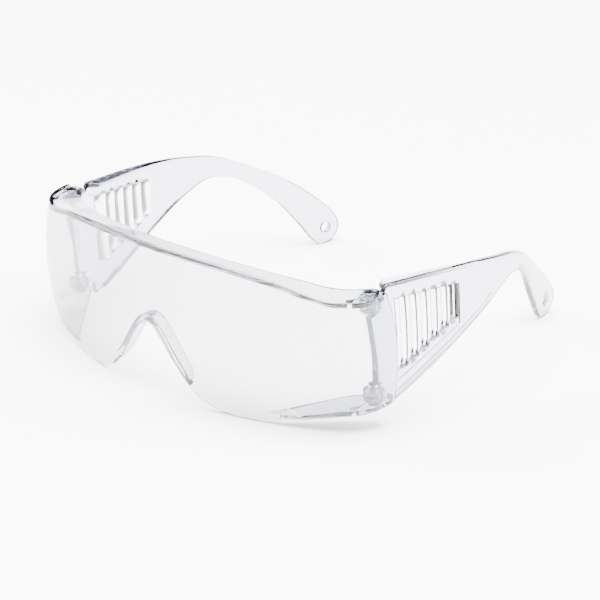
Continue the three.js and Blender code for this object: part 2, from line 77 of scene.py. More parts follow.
# Clear polycarbonate, injection moulded and polished: refracts strongly, thin panels go a light
# cool grey and long paths through an edge go slate. Faint flow ripple and haze from the moulding.
polycarbonate = {
    "lens": {"tint": "#eff0f3", "depth": "#868a9c", "density": 170.0, "roughness": 0.03, "rippleMm": 26.0},
    "arms": {"tint": "#e9eaf1", "depth": "#7f839b", "density": 230.0, "roughness": 0.05, "rippleMm": 18.0},
    "pins": {"tint": "#e9ebf0", "depth": "#666a7e", "density": 320.0, "roughness": 0.06, "rippleMm": 5.0},
}


def clearPolycarbonate(name, look):
    material = bpy.data.materials.new(name)
    material.use_nodes = True
    tree = material.node_tree
    tree.nodes.clear()
    place = addNode(tree, "ShaderNodeTexCoord")
    ripple = addNode(tree, "ShaderNodeTexNoise", {"Vector": place.outputs["Object"]},
                     Scale=1000 / look["rippleMm"], Detail=2.0, Roughness=0.4)
    haze = addNode(tree, "ShaderNodeTexNoise", {"Vector": place.outputs["Object"]},
                   Scale=1000 / 9.0, Detail=4.0, Roughness=0.6)
    polish = addNode(tree, "ShaderNodeMapRange", {"Value": haze.outputs["Fac"]},
                     To_Min=look["roughness"] * 0.6, To_Max=look["roughness"] * 1.6)
    bump = addNode(tree, "ShaderNodeBump", {"Height": ripple.outputs["Fac"]},
                   Strength=0.05, Distance=0.0006)
    shader = addNode(tree, "ShaderNodeBsdfPrincipled",
                     {"Roughness": polish.outputs["Result"], "Normal": bump.outputs["Normal"]},
                     Base_Color=hexColour(look["tint"]), IOR=1.585, Transmission_Weight=1.0)
    depth = addNode(tree, "ShaderNodeVolumeAbsorption",
                    Color=hexColour(look["depth"]), Density=look["density"])
    addNode(tree, "ShaderNodeOutputMaterial",
            {"Surface": shader.outputs["BSDF"], "Volume": depth.outputs["Volume"]})
    return material


lensMaterial = clearPolycarbonate("moulded clear polycarbonate, lens", polycarbonate["lens"])
armMaterial = clearPolycarbonate("moulded clear polycarbonate, arms", polycarbonate["arms"])
pinMaterial = clearPolycarbonate("moulded clear polycarbonate, pins", polycarbonate["pins"])
print("materials made")


def smoothLine(controls, count):
    # centripetal Catmull-Rom curve through the controls, as equally spaced points
    pts = [np.array(p, float) for p in controls]
    pts = [2 * pts[0] - pts[1]] + pts + [2 * pts[-1] - pts[-2]]
    curve = []
    for a, b, c, d in zip(pts, pts[1:], pts[2:], pts[3:]):
        t0 = 0.0
        t1 = t0 + max(np.linalg.norm(b - a), 1e-9) ** 0.5
        t2 = t1 + max(np.linalg.norm(c - b), 1e-9) ** 0.5
        t3 = t2 + max(np.linalg.norm(d - c), 1e-9) ** 0.5
        for t in np.linspace(t1, t2, 40, endpoint=False):
            ab = (t1 - t) / (t1 - t0) * a + (t - t0) / (t1 - t0) * b
            bc = (t2 - t) / (t2 - t1) * b + (t - t1) / (t2 - t1) * c
            cd = (t3 - t) / (t3 - t2) * c + (t - t2) / (t3 - t2) * d
            abc = (t2 - t) / (t2 - t0) * ab + (t - t0) / (t2 - t0) * bc
            bcd = (t3 - t) / (t3 - t1) * bc + (t - t1) / (t3 - t1) * cd
            curve.append((t2 - t) / (t2 - t1) * abc + (t - t1) / (t2 - t1) * bcd)
    curve.append(pts[-2])
    curve = np.array(curve)
    if count is None:
        return curve
    run = np.concatenate([[0], np.cumsum(np.linalg.norm(np.diff(curve, axis=0), axis=1))])
    even = np.linspace(0, run[-1], count)
    return np.stack([np.interp(even, run, curve[:, k]) for k in range(curve.shape[1])], axis=1)


def meshFrom(name, verts, faces):
    mesh = bpy.data.meshes.new(name)
    mesh.from_pydata([tuple(map(float, v)) for v in verts], [], faces)
    build = bmesh.new()
    build.from_mesh(mesh)
    bmesh.ops.remove_doubles(build, verts=build.verts, dist=1e-4)
    bmesh.ops.recalc_face_normals(build, faces=build.faces)
    build.to_mesh(mesh)
    build.free()
    piece = bpy.data.objects.new(name, mesh)
    scene.collection.objects.link(piece)
    return piece


def ribbon(name, sections):
    # closed body through a row of sections with the same number of corners
    corners = len(sections[0])
    verts = [p for section in sections for p in section]
    faces = [(i * corners + j, i * corners + (j + 1) % corners,
              (i + 1) * corners + (j + 1) % corners, (i + 1) * corners + j)
             for i in range(len(sections) - 1) for j in range(corners)]
    faces.append(tuple(range(corners)))
    faces.append(tuple(range((len(sections) - 1) * corners, len(sections) * corners)))
    return meshFrom(name, verts, faces)


def turned(name, profile, x, y, steps=64):
    # a lathe body about an upright axis from (radius, height) pairs that start and end on it
    verts, faces = [], []
    for k in range(steps):
        angle = 2 * math.pi * k / steps
        verts += [(x + r * math.cos(angle), y + r * math.sin(angle), z) for r, z in profile]
    n = len(profile)
    for k in range(steps):
        a, b = k * n, ((k + 1) % steps) * n
        faces += [(a + j, b + j, b + j + 1, a + j + 1) for j in range(n - 1)]
    return meshFrom(name, verts, faces)


def roundedRod(name, radius, low, high, x, y, edge):
    arc = [(radius - edge + edge * math.sin(a), high - edge + edge * math.cos(a))
           for a in np.linspace(0, math.pi / 2, 6)]
    foot = [(r, low + high - z) for r, z in reversed(arc)]
    return turned(name, [(0, high), *arc, *foot, (0, low)], x, y)


def bore(radius, low, high, x, y):
    return turned("bore", [(0, high), (radius, high), (radius, low), (0, low)], x, y)


def flattened(piece):
    graph = bpy.context.evaluated_depsgraph_get()
    mesh = bpy.data.meshes.new_from_object(piece.evaluated_get(graph))
    old = piece.data
    piece.modifiers.clear()
    piece.data = mesh
    bpy.data.meshes.remove(old)
    return piece


def joined(base, others, operation="UNION"):
    for other in others:
        modifier = base.modifiers.new("join", "BOOLEAN")
        modifier.operation = operation
        modifier.solver = "EXACT"
        modifier.object = other
        flattened(base)
        bpy.data.objects.remove(other)
    return base


def roundedEdges(piece, width, angle=50, segments=3):
    modifier = piece.modifiers.new("edge", "BEVEL")
    modifier.width = width
    modifier.segments = segments
    modifier.limit_method = "ANGLE"
    modifier.angle_limit = math.radians(angle)
    return flattened(piece)


def mirroredCopy(piece, name):
    mesh = piece.data.copy()
    mesh.transform(Matrix.Scale(-1, 4, (1, 0, 0)))
    mesh.flip_normals()
    copy = bpy.data.objects.new(name, mesh)
    scene.collection.objects.link(copy)
    return copy


def finishedPiece(piece, name, material, body, node):
    piece.data.transform(toTable)
    for vertex in piece.data.vertices:  # the small flats it stands on
        vertex.co.z = max(vertex.co.z, 0.0)
    piece.name = name
    piece.data.name = name
    piece.data.materials.clear()
    piece.data.materials.append(material)
    for polygon in piece.data.polygons:
        polygon.use_smooth = True
        polygon.material_index = 0
    piece.data.set_sharp_from_angle(angle=math.radians(38))
    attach(piece, body)
    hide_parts(node)
    print(name, len(piece.data.polygons), "faces")
    return piece


# The front: one moulding of lens, brow shelf, hinge shelves, ledges and nose pad.
front = {
    "halfWidth": 76.6, "reach": 33.9, "wingReach": 6.1, "wingCornerCut": 2.9,
    "wall": 1.8, "wingWall": 1.6, "bowHeight": 19.0,
    "shelfTop": 41.4, "shelfWall": 2.0, "browRise": 10.1, "browDepth": 10.2, "browDip": 0.6,
    "chinDrop": 4.0, "reveal": 0.3, "ledgeBase": 1.2, "ledgeWall": 1.8, "eyeWall": 4.2,
    "noseHalfWidth": 16.0, "noseHeight": 19.1, "noseFoot": 4.6, "noseWall": 2.3,
    "noseDepth": 6.6, "noseFootDepth": 5.6, "padEnd": 1.05,
    "edge": 0.55,
    "plan": [(0, -1, 3), (0.183, -0.981, 3), (0.366, -0.919, 3.1), (0.548, -0.805, 3.6),
             (0.705, -0.667, 4.2), (0.822, -0.549, 4.8), (0.898, -0.448, 5.2), (0.953, -0.336, 5),
             (0.987, -0.195, 4), (0.999, -0.029, 3.2)],
    "topEdge": [(0, 1), (0.19, 0.97), (0.352, 0.908), (0.47, 0.796), (0.561, 0.676), (0.64, 0.545),
                (0.705, 0.388), (0.783, 0.21), (0.84, 0.102), (0.92, 0.06), (1.02, 0.042)],
    "chinEdge": [(1.02, 1.5), (0.94, 1.2), (0.88, 0.9), (0.843, 0), (0.762, -1.6), (0.68, -2.92),
                 (0.587, -3.8), (0.496, -4), (0.392, -3.12), (0.317, -1.32), (0.261, 0.8)],
    "noseEdge": [(1.18, -0.125), (1, 0), (0.83, 0.19), (0.656, 0.39), (0.42, 0.69), (0.19, 0.925),
                 (0.09, 0.982), (0, 1)],
}
f = front
halfPlan = [(x * f["halfWidth"], y * f["reach"], lean) for x, y, lean in f["plan"]]
halfPlan.append((f["halfWidth"], f["wingReach"], 3.0))
planLine = smoothLine([(-x, y, lean) for x, y, lean in reversed(halfPlan[1:])] + halfPlan, 2401)
planTangent = np.gradient(planLine[:, :2], axis=0)
planTangent /= np.linalg.norm(planTangent, axis=1)[:, None]
planShare = np.linspace(0, 1, len(planLine))


def lensPoint(t, z, depth):
    x, y, lean = (np.interp(t, planShare, planLine[:, k]) for k in range(3))
    tx, ty = (np.interp(t, planShare, planTangent[:, k]) for k in range(2))
    inward = lean / 1000 * (z - f["bowHeight"]) ** 2 + depth
    rise = min(1, abs(z - f["bowHeight"]) / (f["shelfTop"] - f["bowHeight"]))
    if y > 0:
        y *= 1 - f["wingCornerCut"] / f["wingReach"] * rise ** 2
    return np.array([x - ty * inward, y + tx * inward, z])


topLine = smoothLine([(x * f["halfWidth"], f["shelfTop"] + f["browRise"] * z)
                      for x, z in f["topEdge"]], None)
chinHalf = [(x * f["halfWidth"], z) for x, z in f["chinEdge"]]
noseHalf = [(x * f["noseHalfWidth"], f["noseFoot"] + z * f["noseHeight"]) for x, z in f["noseEdge"]]
lowControls = chinHalf + noseHalf + [(-x, z) for x, z in reversed(noseHalf[:-1])]
lowLine = smoothLine(lowControls, None)
lowLine = lowLine[lowLine[:, 0] >= 0][::-1]
chinLine = smoothLine(chinHalf[:10], None)[::-1]


def heightOn(line, x):
    return float(np.interp(abs(x), line[:, 0], line[:, 1]))


def lensEdge(t, line, depth=0.0):
    # height at which the lens face meets an outline drawn in x and z
    z = f["bowHeight"]
    for _ in range(6):
        z = heightOn(line, lensPoint(t, z, depth)[0])
    return z


halfLength = np.linalg.norm(np.diff(planLine[:, :2], axis=0), axis=1).sum() / 2
noseZone = 24 / halfLength / 2  # share of the plan on each side of the nose that needs close columns
shares = np.concatenate([np.linspace(0, 0.5 - noseZone, 70, endpoint=False),
                         np.linspace(0.5 - noseZone, 0.5 + noseZone, 100, endpoint=False),
                         np.linspace(0.5 + noseZone, 1, 71)])
rows = 22
sections = []
for t in shares:
    low, high = lensEdge(t, lowLine), lensEdge(t, topLine)
    inWing = abs(lensPoint(t, f["bowHeight"], 0)[0]) > 0.96 * f["halfWidth"]
    wall = f["wingWall"] if inWing else f["wall"]
    heights = np.linspace(low, high, rows)
    sections.append([lensPoint(t, z, 0) for z in heights] + [lensPoint(t, z, wall) for z in heights[::-1]])
verts = [p for section in sections for p in section]
corners, last = 2 * rows, (len(sections) - 1) * 2 * rows
faces = [(i * corners + j, i * corners + (j + 1) % corners,
          (i + 1) * corners + (j + 1) % corners, (i + 1) * corners + j)
         for i in range(len(sections) - 1) for j in range(corners)]
for j in range(rows - 1):
    faces.append((j, j + 1, corners - 2 - j, corners - 1 - j))
    faces.append((last + j, last + j + 1, last + corners - 2 - j, last + corners - 1 - j))
shell = roundedEdges(meshFrom("shell", verts, faces), f["edge"])
print("lens wall", len(shell.data.polygons), "faces")


def edgeSection(front, back, wall, edge=0.7, steps=5):
    # flat strip from front to back, its free edge rounded; wall is the way to its far side
    front, back, wall = Vector(front), Vector(back), Vector(wall)
    way = (back - front).normalized()
    down = wall.normalized()
    thick = wall.length
    edge = min(edge, thick * 0.49)
    rim = []
    for a in np.linspace(0, math.pi / 2, steps):
        rim.append(back - way * edge * (1 - math.sin(a)) + down * edge * (1 - math.cos(a)))
    lower = [p + down * (thick - 2 * (p - back).dot(down)) for p in reversed(rim)]
    return [front, *rim, *lower, front + wall]


# Brow shelf: share of the half plan, then its free edge
pinX = hinge["pinX"]


def browAt(x):
    return f["browDepth"] - f["reach"] + 0.005 * x ** 2


browSag = f["shelfTop"] + f["browRise"] - f["reveal"] - f["browDip"]
shelfRows = [(0, 0, browAt(0), browSag)]
for share, part, fall in ((0.167, 0.2, 0.042), (0.34, 0.4, 0.162),
                          (0.5, 0.585, 0.359), (0.631, 0.743, 0.575)):
    shelfRows.append((share, pinX * part, browAt(pinX * part), browSag - f["browRise"] * fall))
shelfRows += [(0.724, pinX - 12, -6.6, f["shelfTop"] + f["browRise"] * 0.168),
              (0.781, pinX - 7.6, -1.9, f["shelfTop"] + f["browRise"] * 0.036),
              (0.836, pinX - 4.1, 1.7, f["shelfTop"]),
              (0.901, pinX - 1.6, f["eyeWall"], f["shelfTop"]),
              (0.965, pinX + 1.5, f["eyeWall"], f["shelfTop"])]
ledgeTop = f["ledgeBase"] + f["ledgeWall"]
ledgeRows = [(0.43, pinX - 32.6, -26.7, 0.6 - f["chinDrop"] + f["ledgeWall"]),
             (0.52, pinX - 23.9, -21.6, ledgeTop - 2.4), (0.63, pinX - 17.6, -14.2, ledgeTop - 1.4),
             (0.724, pinX - 12.2, -7.6, ledgeTop - 0.5), (0.781, pinX - 7.6, -1.9, ledgeTop),
             (0.836, pinX - 4.1, 1.7, ledgeTop), (0.901, pinX - 1.6, f["eyeWall"], ledgeTop),
             (0.965, pinX + 1.5, f["eyeWall"], ledgeTop)]


def shelfSections(shelf, heightFor, wall, count):
    out = []
    for share, x, y, z in smoothLine(shelf, count):
        t = 0.5 + share / 2
        rough = lensPoint(t, z, f["wingWall"] / 2)
        seat = lensPoint(t, heightFor(rough[0]), f["wingWall"] / 2)
        out.append(edgeSection(seat, (x, y, z), (0, 0, -wall), 0.4))
    return out


def acrossX(sections):
    return [[Vector((-p.x, p.y, p.z)) for p in s] for s in reversed(sections[1:])] + sections


browSections = shelfSections(shelfRows, lambda x: heightOn(topLine, x) - f["reveal"], f["shelfWall"], 70)
brow = ribbon("brow", acrossX(browSections))
ledgeSections = shelfSections(
    ledgeRows, lambda x: min(ledgeTop, heightOn(chinLine, x) + f["reveal"] + f["ledgeWall"]),
    f["ledgeWall"], 40)
ledge = ribbon("ledge", ledgeSections)

# Nose pad: follows the arch and reaches back from the lens
arch = smoothLine(noseHalf + [(-x, z) for x, z in reversed(noseHalf[:-1])], 97)
padSections = []
for i, (x, z) in enumerate(arch):
    ahead, behind = arch[min(i + 1, 96)], arch[max(i - 1, 0)]
    normal = Vector((ahead[1] - behind[1], 0, behind[0] - ahead[0])).normalized()
    if normal.z < 0:
        normal = -normal
    t = 0.5 + math.copysign(np.interp(abs(x), planLine[1200:, 0], planShare[1200:]) - 0.5, x)
    seat = lensPoint(t, z, 0.9)
    off = (t - 0.5) * 2 * halfLength / f["noseHalfWidth"]
    if abs(off) > f["padEnd"] + 0.02:
        continue
    fade = min(1, max(0, (f["padEnd"] - abs(off)) / 0.2)) ** 0.6
    depth = 1.15 + (f["noseDepth"] - 1.15 + (f["noseFootDepth"] - f["noseDepth"]) * off ** 2) * fade
    seat[0] = x
    padSections.append(edgeSection(seat, seat + np.array([0, depth - 0.9, 0]), normal * f["noseWall"],
                                   min(0.95, 0.45 * (depth - 0.9))))
pad = ribbon("pad", padSections)
shield = joined(shell, [brow, mirroredCopy(ledge, "ledgeRight"), ledge, pad])

# Hinge eyes with their relief slit and hole
eye = {"radius": 1.6, "reliefReach": 8.7, "reliefRadius": 1.3, "slit": 0.8}
cuts = []
for low, high in ((f["shelfTop"] - f["shelfWall"] - 1.5, f["shelfTop"] + 1.5),
                  (f["ledgeBase"] - 1.5, ledgeTop + 0.3)):
    for side in (1, -1):
        cuts.append(bore(eye["radius"], low, high, side * pinX, 0))
        cuts.append(bore(eye["reliefRadius"], low, high, side * (pinX - 1), -eye["reliefReach"]))
        half = eye["slit"] / 2
        corners = ((-half, 0), (-1 - half, -eye["reliefReach"]), (-1 + half, -eye["reliefReach"]), (half, 0))
        cuts.append(ribbon("slit", [[(side * (pinX + x), y, z) for x, y in corners] for z in (low, high)]))
joined(shield, cuts, "DIFFERENCE")
finishedPiece(shield, "lens", lensMaterial, "front", "shield")


# Arms: one moulding each of blade, top flange, hem, louvred vent and knuckles.
arm = {
    "wall": 2.2, "reach": 122.0, "offset": 1.9, "bow": 0.0032,
    "top": 42.2, "front": 2.2, "rake": 2.7, "shoulder": 6.9, "notch": 1.4, "edge": 0.5,
    "flangeWidth": 6.0, "flangeWall": 1.8, "flangeEnd": 52.0, "hemWidth": 3.5, "hemEnd": 60.0,
    "knuckleRadius": 3.5, "knuckleHeight": 3.5, "stackGap": 0.35, "bore": 1.56,
    "tipHole": (115.4, -10.4, 2.1),
    "plan": [(0, 0), (15, 1.02), (30, 2.2), (45, 2.9), (60, 2.41), (75, -0.4), (87, -5.89), (97, -11.4),
             (106, -15.1), (116, -17.6), (122, -18.3)],
    "topLine": [(7.9, 42), (14.5, 41), (23, 39.8), (32, 38.5), (41, 37), (52, 34.9), (63, 32.3),
                (74, 29.2), (85, 23.6), (96, 16.8), (105, 9.6), (113, 2), (118.6, -4), (121.3, -8.4),
                (122, -11.8)],
    "lowLine": [(122, -11.8), (120.6, -14.8), (117.8, -16.8), (114.5, -17.3), (111.2, -16), (108.6, -13.2),
                (106.2, -9.4), (102.7, -4.1), (97.2, 4), (92.7, 9.3), (88, 13.6), (82.5, 17.8),
                (77, 20.3), (71.5, 21.2), (65.3, 20.1), (59.6, 18), (48.5, 13.6), (37.7, 9),
                (27.4, 4.9), (18, 1.3), (11, -1)],
}
vent = {"front": 11.0, "pitch": 4.85, "count": 6, "top": 35.4, "fall": 0.16, "bottom": 9.7,
        "step": 1.7, "recess": 0.5, "wall": 0.9, "throw": 2.3, "lap": 0.4, "bite": 0.5}
armPlan = smoothLine(arm["plan"], None)


def armFace(y):
    return pinX + arm["offset"] + float(np.interp(y, armPlan[:, 0], armPlan[:, 1]))


def armPoint(y, z, depth):
    fade = max(0, 1 - max(0, y) / (0.5 * arm["reach"]))
    return Vector((armFace(y) - arm["bow"] * fade * (z - f["bowHeight"]) ** 2 - depth, y, z))


def insideLoop(loop, p):
    x, y = loop[:, 0], loop[:, 1]
    x2, y2 = np.roll(x, -1), np.roll(y, -1)
    crosses = (y > p[1]) != (y2 > p[1])
    with np.errstate(divide="ignore", invalid="ignore"):
        at = x + (p[1] - y) * (x2 - x) / (y2 - y)
    return bool(np.sum(crosses & (p[0] < at)) % 2)


def insetLoop(loop, amount):
    # moves a loop into the material: outer loops run anticlockwise and holes clockwise
    ahead, behind = np.roll(loop, -1, axis=0) - loop, loop - np.roll(loop, 1, axis=0)
    na = np.stack([-ahead[:, 1], ahead[:, 0]], 1) / np.linalg.norm(ahead, axis=1)[:, None]
    nb = np.stack([-behind[:, 1], behind[:, 0]], 1) / np.linalg.norm(behind, axis=1)[:, None]
    middle = (na + nb) / (1 + np.sum(na * nb, axis=1))[:, None]
    return loop + middle * amount


def signedArea(loop):
    x, y = loop[:, 0], loop[:, 1]
    return 0.5 * np.sum(x * np.roll(y, -1) - np.roll(x, -1) * y)


def subdivided(loop, step):
    out = []
    for a, b in zip(loop, np.roll(loop, -1, axis=0)):
        n = max(1, int(np.linalg.norm(b - a) / step))
        out += [a + (b - a) * k / n for k in range(n)]
    return np.array(out)


def softCorners(points, radius, steps=5):
    # rounds each corner of a polygon with a short curve
    out = []
    pts = [np.array(p, float) for p in points]
    for a, b, c in zip(pts[-1:] + pts[:-1], pts, pts[1:] + pts[:1]):
        r = min(radius, 0.45 * np.linalg.norm(a - b), 0.45 * np.linalg.norm(c - b))
        p, q = b + (a - b) / np.linalg.norm(a - b) * r, b + (c - b) / np.linalg.norm(c - b) * r
        for t in np.linspace(0, 1, steps):
            out.append((1 - t) ** 2 * p + 2 * t * (1 - t) * b + t ** 2 * q)
    return np.array(out)


ventEnd = vent["front"] + vent["count"] * vent["pitch"]


def ventTopAt(y):
    return vent["top"] - vent["fall"] * (y - vent["front"])


def armLoops():
    # side outline of the arm, anticlockwise, then the vent window and the tip hole, clockwise
    upperEnd = f["shelfTop"] - f["shelfWall"] - arm["stackGap"]
    lowerEnd = ledgeTop + arm["stackGap"]
    front, shoulder, notch = -arm["front"], arm["shoulder"], arm["notch"]
    nose = [(shoulder, -2), (shoulder, 2), (shoulder - notch, lowerEnd), (front + arm["rake"], lowerEnd),
            (front + 0.78 * arm["rake"], f["bowHeight"]), (front, upperEnd), (shoulder - notch, upperEnd),
            (shoulder, upperEnd + notch), (shoulder, arm["top"] - 0.9)]
    upper = smoothLine(arm["topLine"], 90)
    lower = smoothLine(arm["lowLine"], 130)
    turns = 5
    softNose = softCorners(nose + [tuple(upper[0]), tuple(lower[-1])], 0.7, turns)[:-2 * turns]
    outer = subdivided(np.concatenate([softNose, upper, lower[1:]]), 1.2)
    window = [(vent["front"], ventTopAt(vent["front"]))]
    for i in range(vent["count"]):
        z = vent["bottom"] + i * vent["step"]
        window += [(vent["front"] + i * vent["pitch"], z), (vent["front"] + (i + 1) * vent["pitch"], z)]
    window.append((ventEnd, ventTopAt(ventEnd)))
    window = subdivided(softCorners(window, 0.35, 4), 1.2)
    y, z, radius = arm["tipHole"]
    angles = np.linspace(0, 2 * math.pi, 48, endpoint=False)
    tip = np.array([(y + radius * math.cos(a), z + radius * math.sin(a)) for a in angles])
    outer = outer if signedArea(outer) > 0 else outer[::-1]
    return [outer] + [hole if signedArea(hole) < 0 else hole[::-1] for hole in (window, tip)]


def ventPanel():
    # rim of the recessed panel round the vent, and its floor inside a narrow slope
    head, foot, rise = 0.6, vent["bottom"] - 4, vent["step"] * vent["count"]
    front, back = vent["front"] - 0.4, ventEnd + 0.6
    panel = softCorners([(front, ventTopAt(vent["front"]) + head), (front, foot),
                         (back, foot + rise), (back, ventTopAt(ventEnd) + head)], 0.8)
    panel = subdivided(panel, 1.4)
    panel = panel if signedArea(panel) > 0 else panel[::-1]
    return panel, insetLoop(panel, 0.18)


def fillCap(loops, creases, depthAt, verts, faces):
    # one side of the blade between its outline and its holes, with a grid of points inside
    flat, owner, edges = [], [], []
    for start, loop in [*loops, *((None, crease) for crease in creases)]:
        base, n = len(flat), len(loop)
        flat += [Vector(p) for p in loop]
        owner += [None if start is None else start + k for k in range(n)]
        edges += [(base + k, base + (k + 1) % n) for k in range(n)]
    taken = np.array([tuple(p) for p in flat])

    def onBlade(p):
        return insideLoop(loops[0][1], p) and not any(insideLoop(hole, p) for _, hole in loops[1:])

    grid = 2.4
    for y in np.arange(-1, arm["reach"], grid):
        for z in np.arange(-18, 44, grid):
            if np.min(np.sum((taken - (y, z)) ** 2, axis=1)) >= 1.0 and onBlade((y, z)):
                flat.append(Vector((y, z)))
                owner.append(None)
    outVerts, _, outFaces, source, _, _ = delaunay_2d_cdt(flat, edges, [], 0, 1e-6)
    place = []
    for p, sources in zip(outVerts, source):
        known = next((owner[i] for i in sources if owner[i] is not None), None)
        if known is None:
            verts.append((p[0], p[1], depthAt(p)))
            known = len(verts) - 1
        place.append(known)
    for face in outFaces:
        if onBlade(sum((outVerts[i] for i in face), Vector((0, 0))) / 3):
            faces.append(tuple(place[i] for i in face))


def blade():
    # the arm cut from its side outline, with a wall, rounded edges and the arm's curves
    outer, window, tip = armLoops()
    panel, panelFloor = ventPanel()
    floorReach = panelFloor + (panelFloor - panelFloor.mean(0)) * 1e-4  # its own corners count as inside
    edge, steps = arm["edge"], 5
    verts, faces, outerSide, innerSide = [], [], [], []
    for loop, sunk in ((outer, 0), (window, vent["recess"]), (tip, 0)):
        rings = [(insetLoop(loop, edge * (1 - math.cos(a))), sunk + edge * (1 - math.sin(a)))
                 for a in np.linspace(math.pi / 2, 0, steps)]
        rings += [(insetLoop(loop, edge * (1 - math.cos(a))), arm["wall"] - edge * (1 - math.sin(a)))
                  for a in np.linspace(0, math.pi / 2, steps)]
        n, starts = len(loop), []
        for ring, depth in rings:
            starts.append(len(verts))
            verts.extend((y, z, depth) for y, z in ring)
        for s0, s1 in zip(starts, starts[1:]):
            faces.extend((s0 + k, s0 + (k + 1) % n, s1 + (k + 1) % n, s1 + k) for k in range(n))
        outerSide.append((starts[0], rings[0][0]))
        innerSide.append((starts[-1], rings[-1][0]))
    fillCap(outerSide, [panel, panelFloor],
            lambda p: vent["recess"] if insideLoop(floorReach, p) else 0, verts, faces)
    fillCap(innerSide, [], lambda p: arm["wall"], verts, faces)
    return meshFrom("blade", [armPoint(*v) for v in verts], faces)


def louvreTree():
    tree = bpy.data.node_groups.new("vent louvres", "GeometryNodeTree")
    kinds = {"Count": "Int", "Start": "Vector", "Material": "Material"}
    sockets = {}
    for name in ("Count", "Pitch", "Foot", "Foot Step", "Head", "Head Fall", "Slat Width", "Slat Wall",
                 "Lean", "Start", "Material"):
        kind = "NodeSocket" + kinds.get(name, "Float")
        sockets[name] = tree.interface.new_socket(name, in_out="INPUT", socket_type=kind).identifier
    tree.interface.new_socket("Louvres", in_out="OUTPUT", socket_type="NodeSocketGeometry")
    given = tree.nodes.new("NodeGroupInput").outputs
    result = tree.nodes.new("NodeGroupOutput")

    def wired(kind, values, **settings):
        node = addNode(tree, kind, **settings)
        for socket, value in zip(node.inputs, values):
            if isinstance(value, (int, float)):
                socket.default_value = value
            else:
                tree.links.new(value, socket)
        return node.outputs[0]

    def vector(x, y, z):
        return wired("ShaderNodeCombineXYZ", (x, y, z))

    def stepped(step, start):
        return wired("ShaderNodeMath", (index, given[step], given[start]), operation="MULTIPLY_ADD")

    index = tree.nodes.new("GeometryNodeInputIndex").outputs[0]
    foot = stepped("Foot Step", "Foot")
    height = wired("ShaderNodeMath", (stepped("Head Fall", "Head"), foot), operation="SUBTRACT")
    line = addNode(tree, "GeometryNodeMeshLine", {"Count": given["Count"], "Start Location": given["Start"],
                                                  "Offset": vector(0, given["Pitch"], 0)})
    lift = addNode(tree, "GeometryNodeSetPosition",
                   {"Geometry": line.outputs[0], "Offset": vector(0, 0, foot)})
    slat = addNode(tree, "GeometryNodeMeshCube",
                   {"Size": vector(given["Slat Wall"], given["Slat Width"], 1.0)})
    slat.inputs["Vertices Z"].default_value = 10
    upright = addNode(tree, "GeometryNodeTransform",
                      {"Geometry": slat.outputs["Mesh"], "Rotation": vector(0, 0, given["Lean"])})
    upright.inputs["Translation"].default_value = (0, 0, 0.5)
    copies = addNode(tree, "GeometryNodeInstanceOnPoints",
                     {"Points": lift.outputs[0], "Instance": upright.outputs[0],
                      "Scale": vector(1.0, 1.0, height)})
    real = addNode(tree, "GeometryNodeRealizeInstances", {"Geometry": copies.outputs[0]})
    skin = addNode(tree, "GeometryNodeSetMaterial",
                   {"Geometry": real.outputs[0], "Material": given["Material"]})
    tree.links.new(skin.outputs[0], result.inputs[0])
    return tree, sockets


def louvres():
    width, drop = vent["pitch"] + vent["lap"], vent["throw"] - vent["recess"]
    tree, sockets = louvreTree()
    bank = meshFrom("louvres", [(0, 0, 0)], [])
    modifier = bank.modifiers.new("louvres", "NODES")
    modifier.node_group = tree
    foot = vent["bottom"] - vent["bite"]
    values = {"Count": vent["count"], "Pitch": vent["pitch"], "Foot": foot, "Foot Step": vent["step"],
              "Head": vent["top"] + vent["bite"], "Head Fall": -vent["fall"] * vent["pitch"],
              "Slat Width": math.hypot(width, drop), "Slat Wall": vent["wall"],
              "Lean": -math.atan2(drop, width),
              "Start": (vent["recess"] + drop / 2 + vent["wall"] / 2, vent["front"] + width / 2 - 0.2, 0.0),
              "Material": armMaterial}
    for name, value in values.items():
        modifier[sockets[name]] = value
    flattened(bank)
    roundedEdges(bank, 0.22, segments=2)
    for vertex in bank.data.vertices:  # slat tops follow the sloping top edge of the vent
        depth, y, z = vertex.co
        inLast = y >= ventEnd - 0.1 * vent["pitch"]
        along = vent["pitch"] if inLast else (y - vent["front"]) % vent["pitch"]
        vertex.co = armPoint(y, z - vent["fall"] * along * max(0, z - 20) / 15, depth)
    return bank


def strip(name, line, start, end, widthAt, wall):
    sections = []
    for y in np.linspace(start, end, 40):
        z = float(np.interp(y, line[:, 0], line[:, 1]))
        flat = edgeSection((0.7, 0, z), (widthAt(y), 0, z), (0, 0, wall), 0.6)
        sections.append([armPoint(y, p.z, p.x) for p in flat])
    return ribbon(name, sections)


def taper(y, end):
    return max(0, min(1, (end - y) / end))


topRun = smoothLine(arm["topLine"], None)
lowRun = smoothLine(arm["lowLine"], None)
lowRun = lowRun[(lowRun[:, 0] < 70) & (lowRun[:, 1] < 30)][::-1]
knuckleLow = ledgeTop + arm["stackGap"]
knuckleHigh = f["shelfTop"] - f["shelfWall"] - arm["stackGap"] - arm["knuckleHeight"]


def flangeWidthAt(y):
    start = min(1, max(0.25, (y - arm["shoulder"]) / 3.5))
    return arm["wall"] + (arm["flangeWidth"] - arm["wall"]) * taper(y, arm["flangeEnd"]) * start


def hemWidthAt(y):
    return arm["wall"] + (arm["hemWidth"] - arm["wall"]) * min(1, taper(y, arm["hemEnd"]) * 2)


